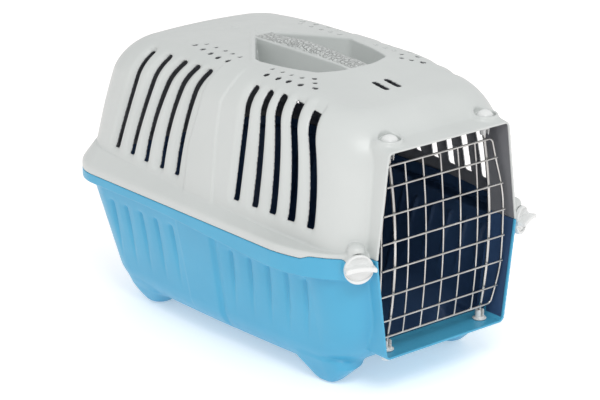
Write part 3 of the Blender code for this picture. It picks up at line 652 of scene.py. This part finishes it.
def tray_wall(x, y, z):
    """Distance to the tray's sides, which lean inwards. Its front curves back towards the floor."""
    drop = TRAY_WALL_TOP - z
    chin = CHIN_DEPTH * np.maximum((0.100 - z) / (0.100 - TRAY_FLOOR), 0.0) ** 2
    half = TRAY_HALF_WIDTH - TRAY_LEAN * drop - WAIST * side_waist(y)
    front_radius = np.maximum(FRONT_RADIUS - 0.15 * drop, 0.04)
    return plan_distance(x, y, half, FRONT + chin, TRAY_REAR - TRAY_LEAN * drop, front_radius, REAR_RADIUS)


def tongue_rule(x, y, z):
    """The thin tongue inside the rim that keeps the two shells in line."""
    inside = rim_distance(x, y) + WALL
    plate = np.maximum(inside + np.where(z > PARTING - 0.0010, 0.0004, -0.0010), -inside - 0.0020)
    ends = np.maximum(np.maximum(0.150 - z, z - PARTING - 0.0030), -0.194 - y)
    return np.maximum(plate, ends)


def make_tray_mesh():
    low, high = (0, TRAY_FRONT - 0.004, -0.004), (RIM_HALF_WIDTH + 0.004, RIM_REAR + 0.004, PARTING + 0.010)
    field = Field(low, high, SHELL_PITCH, mirrored=True)
    x, y, z = field.x, field.y, field.z
    wall = tray_wall(x, y, z)
    wall += tray_relief(y, z) * smoothstep(0.070, 0.095, x)
    field.d[:] = round_max(wall, TRAY_FLOOR - z, TRAY_FILLET)
    del wall
    lower_edge = 0.1490 - 0.0090 * smoothstep(0.10, -0.16, y)
    rim = round_max(rim_distance(x, y), lower_edge - z, 0.0018)
    field.d[:] = smooth_min(field.d, rim, 0.0030)
    del rim
    for foot_y in (-FOOT_Y, FOOT_Y):
        low, high = (0.040, foot_y - 0.05, -0.004), (0.140, foot_y + 0.05, 0.060)
        field.change(low, high, foot_rule(FOOT_X, foot_y), 0.0050)
    field.change((0.080, -0.246, 0.130), (0.150, -0.170, 0.190), boss_rule, 0.0050)
    field.change((0.0, HOOD_FRONT - 0.004, 0.040), (0.115, -0.205, 0.175), hood_rule, 0.0030)
    # Faces behind the outer skin get the darker inside plastic, painted shade; the front face and the sill
    # keep the outer blue.
    front_face = y < HOOD_FRONT + 0.003
    sill = (y < TUNNEL_BACK + 0.002) & (z < TUNNEL_LOW + 2 * TUNNEL_WALL)
    inner = np.where(front_face | sill, 1.0, field.d + 0.5 * WALL)
    field.d[:] = smooth_max(field.d, -(field.d + WALL), 0.0006)
    line_tunnel(field, 0.040, 0.175)
    socket_hole = upright_rod(ROD_X, ROD_Y, 0.0063, 0.03, 0.07)
    field.change((0.055, -0.235, 0.035), (0.080, -0.205, 0.060), socket_hole, 0.0004, cut=True)
    clear_knob(field)
    field.d[:] = round_max(field.d, z - parting_height(y) + 0.4 * GAP, 0.0003)
    field.change((0, -0.194, 0.148), (RIM_HALF_WIDTH, RIM_REAR, PARTING + 0.006), tongue_rule, 0.0002)
    return field.mesh("lower_tray_moulding", inner)


# ---------------------------------------------------------------- locks


def knob_mesh():
    """A turn knob in its own space: X across, Y up, Z out."""
    field = Field((-0.020, -0.020, -0.016), (0.020, 0.020, 0.013), LOCK_PITCH)
    x, y, z = field.x, field.y, field.z
    radius = np.hypot(x, y)
    field.d[:] = round_max(radius - KNOB_RADIUS, np.maximum(z, -KNOB_THICKNESS - z), 0.0014)
    recess = ball((0.0, 0.0092, 0.0010), (0.0100, 0.0048, 0.0034))(x, y, z)
    field.d[:] = smooth_max(field.d, -recess, 0.0006)
    ring = np.abs(np.hypot(x, y - 0.006) - 0.0165) - 0.0016
    crescent = np.maximum(ring, np.maximum(y + 0.004, -0.0014 - z))
    field.d[:] = smooth_max(field.d, -crescent, 0.0006)
    bend = 0.0030 - 0.0022 * (x / KNOB_RADIUS) ** 2
    thickness = np.abs(y - 0.0006 - bend) - WING_HALF_THICKNESS
    wing = round_max(thickness, np.maximum(z - WING_TOP, -z - 0.001), 0.0018)
    wing = round_max(wing, np.abs(x) - WING_REACH, 0.0016)
    field.d[:] = smooth_min(field.d, wing, 0.0014)
    stem = round_max(radius - STEM_RADIUS, np.maximum(z + 0.0040, -0.0139 - z), 0.0004)
    field.d[:] = smooth_min(field.d, stem, 0.0004)
    return field.mesh("turn_knob")


def latch_mesh():
    """A door latch with its axis on Z and its stem's foot at the origin's height."""
    field = Field((-0.011, -0.011, -0.018), (0.011, 0.011, 0.013), LOCK_PITCH)
    x, y, z = field.x, field.y, field.z
    radius = np.hypot(x, y)
    dome = smooth_max(ball((0, 0, 0.0036), (0.0097, 0.0097, 0.0080))(x, y, z), 0.0004 - z + 0 * x, 0.0006)
    dome = smooth_max(dome, radius - LATCH_RADIUS, 0.0008)
    stem = round_max(radius - LATCH_STEM_RADIUS, np.maximum(z - 0.003, -0.0034 - z), 0.0003)
    side = radius - LATCH_COLLAR_RADIUS + 0.10 * np.maximum(-0.009 - z, 0)
    collar = round_max(side, np.maximum(z + 0.0034, -0.0157 - z), 0.0008)
    field.d[:] = smooth_min(dome, smooth_min(stem, collar, 0.0002), 0.0003)
    bore = np.maximum(radius - 0.0035, z + 0.0087)
    slot = np.maximum(np.maximum(np.abs(x) - 0.0023, y), z + 0.0088)
    field.d[:] = smooth_max(field.d, -np.minimum(bore, slot), 0.0004)
    slit = np.maximum(np.abs(z - 0.0044) - 0.00055, y + 0.0060)
    field.d[:] = smooth_max(field.d, -slit, 0.0003)
    window = box_distance((0.0072, -0.0040, 0.0022), (0.0026, 0.0028, 0.0013), 0.0006)(x, y, z)
    field.d[:] = smooth_max(field.d, -window, 0.0004)
    return field.mesh("door_latch")


def socket_mesh():
    """The bush in the sill, with its flange's underside at the origin's height."""
    field = Field((-0.010, -0.010, -0.013), (0.010, 0.010, 0.014), LOCK_PITCH)
    x, y, z = field.x, field.y, field.z
    radius = np.hypot(x, y)
    body = round_max(radius - BUSH_RADIUS, np.maximum(z - 0.002, -0.0105 - z), 0.0008)
    flange = round_max(radius - BUSH_FLANGE_RADIUS, np.maximum(z - 0.0017, 0.0003 - z), 0.0005)
    cup = round_max(radius - BUSH_CUP_RADIUS + 0.04 * z, np.maximum(z - 0.0110, -z), 0.0007)
    field.d[:] = smooth_min(smooth_min(body, flange, 0.0003), cup, 0.0012)
    bore = np.maximum(radius - 0.0024, 0.0026 - z)
    slot = np.maximum(np.maximum(np.abs(x) - 0.0022, y), 0.0027 - z)
    field.d[:] = smooth_max(field.d, -np.minimum(bore, slot), 0.0004)
    return field.mesh("rod_socket")


def cam_mesh():
    """The oval cam behind a knob, in the knob's own space, with a hole for the stem."""
    field = Field((-0.014, -0.008, -0.015), (0.014, 0.008, -0.007), LOCK_PITCH)
    x, y, z = field.x, field.y, field.z
    plan = np.hypot(np.maximum(np.abs(x) - CAM_REACH, 0), y) - CAM_RADIUS
    field.d[:] = round_max(plan, np.abs(z + 0.0111) - 0.0015, 0.0006)
    field.d[:] = smooth_max(field.d, 0.0043 - np.hypot(x, y) + 0 * z, 0.0003)
    return field.mesh("knob_cam")


# ---------------------------------------------------------------- materials


def node_material(name):
    material = bpy.data.materials.new(name)
    material.use_nodes = True
    tree = material.node_tree
    return material, tree, tree.nodes["Principled BSDF"]


def noise(tree, coordinates, scale, detail=4.0, roughness=0.5):
    node = tree.nodes.new("ShaderNodeTexNoise")
    node.inputs["Scale"].default_value = scale
    node.inputs["Detail"].default_value = detail
    node.inputs["Roughness"].default_value = roughness
    tree.links.new(coordinates, node.inputs["Vector"])
    return node.outputs["Fac"]


def ramp(tree, value, stops):
    node = tree.nodes.new("ShaderNodeValToRGB")
    elements = node.color_ramp.elements
    while len(elements) < len(stops):
        elements.new(0.5)
    for element, (position, colour) in zip(elements, stops):
        element.position = position
        element.color = (*colour, 1.0)
    tree.links.new(value, node.inputs["Fac"])
    return node.outputs["Color"]


def map_range(tree, value, low, high, to_low, to_high):
    node = tree.nodes.new("ShaderNodeMapRange")
    for key, number in (("From Min", low), ("From Max", high), ("To Min", to_low), ("To Max", to_high)):
        node.inputs[key].default_value = number
    tree.links.new(value, node.inputs["Value"])
    return node.outputs["Result"]


def bump(tree, height, strength, distance, under=None):
    node = tree.nodes.new("ShaderNodeBump")
    node.inputs["Strength"].default_value = strength
    node.inputs["Distance"].default_value = distance
    tree.links.new(height, node.inputs["Height"])
    if under is not None:
        tree.links.new(under, node.inputs["Normal"])
    return node.outputs["Normal"]


def moulded_plastic(name, light, dark, roughness, grain=0.00005):
    """Satin polypropylene: faint flow clouds in the colour, a fine leathery grain and uneven gloss."""
    material, tree, shader = node_material(name)
    place = tree.nodes.new("ShaderNodeTexCoord").outputs["Object"]
    clouds = noise(tree, place, 14.0, 3.0)
    colour = ramp(tree, clouds, ((0.30, dark), (0.72, light)))
    tree.links.new(colour, shader.inputs["Base Color"])
    gloss = noise(tree, place, 60.0, 5.0, 0.6)
    uneven = map_range(tree, gloss, 0.3, 0.7, roughness - 0.05, roughness + 0.06)
    tree.links.new(uneven, shader.inputs["Roughness"])
    fine = bump(tree, noise(tree, place, 1600.0, 2.0), 0.35, grain)
    wavy = bump(tree, noise(tree, place, 22.0, 2.0), 0.25, 0.0006, fine)
    tree.links.new(wavy, shader.inputs["Normal"])
    shader.inputs["IOR"].default_value = 1.49
    return material


def grip_texture(material):
    """Embossed scales on top of the handle, as a bump that fades out at the grip's edges."""
    tree = material.node_tree
    shader = tree.nodes["Principled BSDF"]
    place = tree.nodes.new("ShaderNodeTexCoord").outputs["Object"]
    parts = tree.nodes.new("ShaderNodeSeparateXYZ")
    tree.links.new(place, parts.inputs["Vector"])
    across = tree.nodes.new("ShaderNodeMath")
    across.operation = "ABSOLUTE"
    tree.links.new(parts.outputs["X"], across.inputs[0])
    inside = map_range(tree, across.outputs[0], 0.0105, 0.0125, 1.0, 0.0)
    rear = map_range(tree, parts.outputs["Y"], 0.066, 0.069, 1.0, 0.0)
    front = map_range(tree, parts.outputs["Y"], -0.096, -0.093, 0.0, 1.0)
    high = map_range(tree, parts.outputs["Z"], 0.3195, 0.3205, 0.0, 1.0)
    cells = tree.nodes.new("ShaderNodeTexVoronoi")
    cells.feature = "DISTANCE_TO_EDGE"
    cells.inputs["Scale"].default_value = 190.0
    tree.links.new(place, cells.inputs["Vector"])
    height = map_range(tree, cells.outputs["Distance"], 0.02, 0.22, 0.0, 1.0)
    for mask in (inside, rear, front, high):
        node = tree.nodes.new("ShaderNodeMath")
        node.operation = "MULTIPLY"
        tree.links.new(height, node.inputs[0])
        tree.links.new(mask, node.inputs[1])
        height = node.outputs[0]
    under = shader.inputs["Normal"].links[0].from_socket
    tree.links.new(bump(tree, height, 1.0, 0.0022, under), shader.inputs["Normal"])


def plated_wire(name):
    """Bright nickel-plated wire with faint drawing lines and dull patches."""
    material, tree, shader = node_material(name)
    place = tree.nodes.new("ShaderNodeTexCoord").outputs["Object"]
    patches = noise(tree, place, 45.0, 4.0)
    colour = ramp(tree, patches, ((0.3, (0.46, 0.455, 0.44)), (0.7, (0.62, 0.615, 0.60))))
    tree.links.new(colour, shader.inputs["Base Color"])
    tree.links.new(map_range(tree, patches, 0.3, 0.7, 0.36, 0.24), shader.inputs["Roughness"])
    tree.links.new(bump(tree, noise(tree, place, 900.0, 2.0), 0.2, 0.00004), shader.inputs["Normal"])
    shader.inputs["Metallic"].default_value = 1.0
    return material


# ---------------------------------------------------------------- pieces


def add_piece(name, data, body, materials, node):
    """Puts a mesh or a curve in the scene, on a body, in place of a CAD node."""
    piece = bpy.data.objects.new(name, data)
    bpy.context.scene.collection.objects.link(piece)
    for material in materials:
        data.materials.append(material)
    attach(piece, body)
    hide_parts(node)


def knob_matrix(side):
    normal = Vector((side * KNOB_AXIS.x, KNOB_AXIS.y, 0.0))
    across = Vector((0, 0, 1)).cross(normal)
    turn = Matrix((across, Vector((0, 0, 1)), normal)).transposed().to_4x4()
    return Matrix.Translation((side * KNOB_PLACE.x, KNOB_PLACE.y, KNOB_PLACE.z)) @ turn


def make_locks(material):
    knob, cam, latch, socket = knob_mesh(), cam_mesh(), latch_mesh(), socket_mesh()
    for side, word in ((-1, "left"), (1, "right")):
        turned = knob_matrix(side)
        above = Matrix.Translation((side * ROD_X, ROD_Y, LATCH_FLOOR))
        below = Matrix.Translation((side * ROD_X, ROD_Y, TUNNEL_LOW + TUNNEL_WALL))
        for name, mesh, body, node, place in (
            ("thumb_knob", knob, f"{word}_knob", "turn_knob", turned),
            ("lock_cam", cam, f"{word}_knob", "knob_cam", turned),
            ("latch_dome", latch, f"{word}_latch", "door_latch", above),
            ("rod_bush", socket, "tray", "rod_socket", below),
        ):
            mesh = mesh.copy()
            mesh.transform(place)
            add_piece(f"{word}_{name}", mesh, body, [material], f"{word}_{node}")


def bow(height):
    """How far the door bulges forwards at a height."""
    share = (height - DOOR_MIDDLE) / DOOR_HALF_HEIGHT
    return DOOR_BOW * max(1 - share**2, 0.0)


def rod_extra_bow(height):
    """The thick rods bow further than the lattice, up to the back of the cross wires."""
    share = (height - DOOR_MIDDLE) / ROD_HALF_HEIGHT
    return ROD_EXTRA_BOW * max(1 - share**2, 0.0)


def wire(name, node, points, radius, steel, cyclic=False):
    """A round wire along points, standing for a node of the door."""
    curve = bpy.data.curves.new(name, "CURVE")
    curve.dimensions = "3D"
    curve.bevel_depth = radius
    curve.bevel_resolution = 4
    curve.use_fill_caps = not cyclic
    spline = curve.splines.new("POLY")
    spline.points.add(len(points) - 1)
    for target, point in zip(spline.points, points):
        target.co = (*point, 1.0)
    spline.use_cyclic_u = cyclic
    spline.use_smooth = True
    add_piece(name, curve, "door", [steel], node)


def steps_between(low, high, count):
    return [low + (high - low) * i / count for i in range(count + 1)]


def frame_half_width(height):
    bottom, middle, top = FRAME_HALF_WIDTHS
    low, high = FRAME_WIDEST
    if height < low:
        return bottom + (middle - bottom) * float(smoothstep(FRAME_BOTTOM, low, height)) ** 0.8
    if height > high:
        return middle + (top - middle) * float(smoothstep(high, FRAME_TOP, height)) ** 1.15
    return middle


def corner_arc(centre, radius, start, end):
    """Points on an arc in the door's plane, from one angle in degrees to another."""
    cx, cz = centre
    angles = [math.radians(angle) for angle in steps_between(start, end, 6)]
    return [(cx + radius * math.cos(a), cz + radius * math.sin(a)) for a in angles]


def make_door(steel):
    frame_y = DOOR_PLANE + FRAME_RADIUS + THIN_RADIUS
    bottom, _, top = FRAME_HALF_WIDTHS
    low, high = FRAME_BOTTOM + FRAME_CORNER, FRAME_TOP - FRAME_CORNER
    right = corner_arc((bottom - FRAME_CORNER, low), FRAME_CORNER, -90, 0)
    right += [(frame_half_width(z), z) for z in steps_between(low, high, 40)[1:-1]]
    right += corner_arc((top - FRAME_CORNER, high), FRAME_CORNER, 0, 90)
    outline = right + [(-x, z) for x, z in reversed(right)]
    points = [(x, frame_y - bow(z), z) for x, z in outline]
    wire("door_border_wire", "door_frame_wire", points, FRAME_RADIUS, steel, cyclic=True)
    for side, name in ((-1, "door_latch_rod"), (1, "door_hinge_rod")):
        low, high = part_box(name)[0].z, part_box(name)[1].z
        levels = steps_between(low, high, 60)
        points = [(side * ROD_X, ROD_Y - bow(z) - rod_extra_bow(z), z) for z in levels]
        wire(f"{name}_bent", name, points, ROD_RADIUS, steel)
    for index in range(1, 6):
        node = f"door_upright_wire_{index}"
        low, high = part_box(node)
        x = 0.5 * (low.x + high.x)
        levels = steps_between(FRAME_BOTTOM + 0.0004, FRAME_TOP - 0.0004, 40)
        wire(f"upright_wire_{index}", node, [(x, frame_y - bow(z), z) for z in levels], THIN_RADIUS, steel)
    for index in range(1, 7):
        node = f"door_cross_wire_{index}"
        low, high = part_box(node)
        z = 0.5 * (low.z + high.z)
        xs = steps_between(low.x, high.x, 8)
        wire(f"cross_wire_{index}", node, [(x, DOOR_PLANE - bow(z), z) for x in xs], THIN_RADIUS, steel)


# ---------------------------------------------------------------- stage


def make_floor():
    """A pale floor that glows a little, so that it blends into the background."""
    mesh = bpy.data.meshes.new("studio_floor")
    size = 6.0
    corners = [(-size, -size, 0), (size, -size, 0), (size, size, 0), (-size, size, 0)]
    mesh.from_pydata(corners, [], [(0, 1, 2, 3)])
    floor = bpy.data.objects.new("studio_floor", mesh)
    bpy.context.scene.collection.objects.link(floor)
    material, _, shader = node_material("floor_white")
    shader.inputs["Base Color"].default_value = (0.97, 0.93, 0.92, 1)
    shader.inputs["Roughness"].default_value = 0.9
    shader.inputs["Emission Color"].default_value = (1.0, 1.0, 1.0, 1)
    shader.inputs["Emission Strength"].default_value = 0.34
    mesh.materials.append(material)


def make_lights():
    """An even white sky, and one soft key light from the front left."""
    world = bpy.data.worlds.new("studio_world")
    world.use_nodes = True
    sky = world.node_tree.nodes["Background"]
    sky.inputs["Color"].default_value = (1.0, 1.0, 1.0, 1)
    sky.inputs["Strength"].default_value = 0.80
    bpy.context.scene.world = world
    light = bpy.data.lights.new("key_light", "AREA")
    light.shape = "RECTANGLE"
    light.size, light.size_y = 0.9, 0.7
    light.energy = 16
    place, target = Vector((-0.75, -1.45, 1.75)), Vector((0, 0, 0.15))
    key = bpy.data.objects.new("key_light", light)
    bpy.context.scene.collection.objects.link(key)
    key.location = place
    key.rotation_euler = (target - place).to_track_quat("-Z", "Y").to_euler()


def make_camera():
    azimuth, elevation = math.radians(AZIMUTH), math.radians(ELEVATION)
    level = math.cos(elevation)
    right = Vector((math.cos(azimuth), math.sin(azimuth), 0))
    back = Vector((math.sin(azimuth) * level, -math.cos(azimuth) * level, math.sin(elevation)))
    up = back.cross(right)
    data = bpy.data.cameras.new("camera")
    data.sensor_width = SENSOR
    data.lens = LENS
    camera = bpy.data.objects.new("camera", data)
    bpy.context.scene.collection.objects.link(camera)
    place = Vector(LOOK_AT) + SHIFT[0] * right + SHIFT[1] * up + DISTANCE * back
    camera.matrix_world = Matrix.Translation(place) @ Matrix((right, up, back)).transposed().to_4x4()
    bpy.context.scene.camera = camera


def main():
    bpy.context.scene.view_settings.view_transform = "Standard"
    make_camera()
    make_floor()
    make_lights()
    lid_grey = moulded_plastic("lid_grey_plastic", (0.585, 0.61, 0.60), (0.555, 0.58, 0.57), 0.33)
    grip_texture(lid_grey)
    # The lid's inside plastic is darker than its outside grey: painted shade for the dim inside of the lid
    # and its tunnel.
    lid_inside_shade = moulded_plastic("lid_inside_shade_plastic", (0.22, 0.225, 0.24), (0.19, 0.195, 0.21), 0.55)
    tray_blue = moulded_plastic("tray_blue_plastic", (0.070, 0.385, 0.60), (0.062, 0.355, 0.565), 0.34)
    # The tray's inside plastic is darker than its blue outside: painted shade for the dim inside.
    tray_inside_shade = moulded_plastic("tray_inside_shade_plastic", (0.035, 0.085, 0.19), (0.030, 0.070, 0.16), 0.50)
    lock_white = moulded_plastic("lock_white_plastic", (0.74, 0.755, 0.75), (0.70, 0.715, 0.71), 0.26)
    steel = plated_wire("door_wire_metal")
    lid, tray = make_lid_mesh(), make_tray_mesh()
    add_piece("upper_shell_moulding", lid, "lid", [lid_grey, lid_inside_shade], "upper_shell")
    add_piece("lower_tray_moulding", tray, "tray", [tray_blue, tray_inside_shade], "lower_tray")
    make_locks(lock_white)
    make_door(steel)


main()
